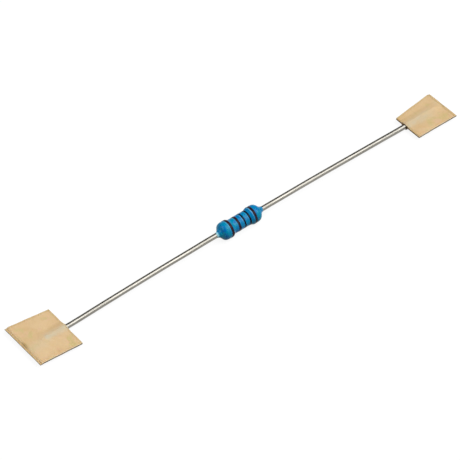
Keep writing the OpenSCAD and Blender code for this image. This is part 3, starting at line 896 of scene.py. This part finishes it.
# %% Lay the tapes
left_cut = dict(
    back_in=3.45, back_out=4.2, front_in=3.33, front_out=2.95, lean=0.7, short_in=0.0, short_out=0.28,
    wire_in=left_wire_in, wire_y=left_wire_y, level_in=0.08, level_out=0.16, loose_edge=0.03, loose_y=0.6,
    streak=0.9, streak_v=-0.15, streak_w=0.9, fade=0.4, spot=0.9, trail=0.25,
    wear_and_shade=0.1, edge_shadow=0.8, out_line=0.0, dull=0.0)
right_cut = dict(
    back_in=1.9, back_out=2.65, front_in=2.29, front_out=2.29, lean=2.9, short_in=0.03, short_out=0.24,
    wire_in=right_wire_in, wire_y=right_wire_y, level_in=0.12, level_out=0.12, loose_edge=0.02, loose_y=-0.9,
    streak=0.7, streak_v=-0.35, streak_w=1.1, fade=2.6, spot=0.0, trail=0.0,
    wear_and_shade=0.15, edge_shadow=0.3, out_line=0.5, dull=0.08)
for upper in (False, True):
    layer("left", -1, left_cut, upper, 41)
    layer("right", 1, right_cut, upper, 61)

# %% [markdown]
# ## What the resin hides
#
# Inside are a white ceramic rod, a dark resistive film with a helical slit, and two pressed caps of
# tinned steel. Their measured shapes are right as they are, so they only get their finishes: a fine
# grog in the ceramic, a patchy sheen on the film, and drawing marks on the steel.

# %% Finish the hidden pieces
ceramic = two_tone_finish(
    "white_ceramic", patches=dict(size=0.15, low=0.35, high=0.7),
    tones=[screen(236, 234, 226), screen(220, 216, 206)],
    grain=dict(size=0.05, depth=0.004), Roughness=0.7)[0]
film = two_tone_finish(
    "resistive_film", patches=dict(size=0.8), tones=[screen(66, 72, 70), screen(88, 92, 86)],
    grain=dict(size=0.04, depth=0.001), Metallic=0.8, Roughness=0.35)[0]
steel = two_tone_finish(
    "cap_steel", patches=dict(size=0.1, stretch=8), tones=[screen(196, 196, 192), screen(176, 176, 172)],
    grain=dict(size=0.05, depth=0.002, stretch=10), Metallic=1.0, Roughness=0.3)[0]

hidden = {"ceramic_core": ceramic, "metal_film": film, "end_cap_left": steel, "end_cap_right": steel}
for node, finish in hidden.items():
    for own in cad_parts[node].material_slots:
        own.material = finish
    print(node, "is finished as", finish.name)

# %% [markdown]
# ## The table and the light
#
# The table is a pale sheet that turns up far behind, as a studio's paper sweep does, so that no
# horizon shows. Its own colour is a dark grey that throws little light back up. For what the camera, a
# reflection or glass sees, a plain glow is added that brings it to white, and the shadow stays, because
# the lit part of the colour is still there.

# %% Make the sweep
sweep_half, sweep_steps, sweep_turn_at, sweep_turn_l, sweep_rise = 1600.0, 81, 1100.0, 500.0, 320.0
table_gap, table_tone, table_glow = 0.01, 0.12, 0.9
reach = np.linspace(-sweep_half, sweep_half, sweep_steps)
sweep_x, sweep_y = np.meshgrid(reach, reach, indexing="ij")
rise = sweep_rise * ease((np.hypot(sweep_x, sweep_y) - sweep_turn_at) / sweep_turn_l) - table_gap
sweep = surface("table", np.stack([sweep_x, sweep_y, rise], -1)[:, ::-1])
table_paper, tree, shader = new_finish("table_paper", Roughness=1.0, Specular_IOR_Level=0.0)
shader.inputs["Base Color"].default_value = (table_tone, table_tone, table_tone, 1.0)
seen = add(tree, "ShaderNodeLightPath").outputs
direct = seen["Is Camera Ray"]
for ray in ("Is Glossy Ray", "Is Transmission Ray"):
    direct = add(tree, "ShaderNodeMath", {0: direct, 1: seen[ray]}, operation="MAXIMUM").outputs[0]
glow = add(tree, "ShaderNodeMath", {0: direct, 1: table_glow}, operation="MULTIPLY")
shader.inputs["Emission Color"].default_value = (1.0, 1.0, 1.0, 1.0)
tree.links.new(glow.outputs[0], shader.inputs["Emission Strength"])
sweep.data.materials.append(table_paper)

# %% [markdown]
# Three square lamps stand round the part, all facing it from the same distance, and a faint even sky
# fills in the rest. The key lamp hangs high on the right and gives the body its long highlight and the
# wires their bright line. A weaker one stands lower on the same side, in front, and lights the body's
# front. The third stands on the left, a little behind, so that the left dome is bright on its far side
# and darkens toward the camera. Large lamps are used because their highlights and shadows are soft.

# %% Hang the lamps
sky_strength, lamp_distance = 0.08, 1.2
sky = bpy.data.worlds.new("grey_sky")
sky.use_nodes = True
sky.node_tree.nodes["Background"].inputs["Color"].default_value = (1.0, 1.0, 1.0, 1.0)
sky.node_tree.nodes["Background"].inputs["Strength"].default_value = sky_strength
bpy.context.scene.world = sky


def soft_lamp(name, turn, lift, size, radiance):
    """A square lamp of a size in metres that faces the body from a turn and a lift in degrees. Its power
    is radiance x pi x area."""
    lamp = bpy.data.lights.new(name, "AREA")
    lamp.shape, lamp.size = "SQUARE", size
    lamp.energy = radiance * math.pi * size * size
    axes = sight_axes(turn, lift)
    hung = stand_at(name, lamp, axes, lamp_distance * axes[2])
    hung.visible_camera = False
    print(f"{name}: {lamp.energy:.2f} W")


soft_lamp("key_lamp", turn=56.5, lift=59.5, size=1.0, radiance=4.4)
soft_lamp("front_lamp", turn=31.3, lift=35.7, size=0.9, radiance=1.5)
soft_lamp("left_lamp", turn=-112.0, lift=40.0, size=0.9, radiance=2.6)

# %% [markdown]
# ## Colours
#
# The plain Standard view shows colours as they are written.

# %% Finish
bpy.context.scene.view_settings.view_transform = "Standard"
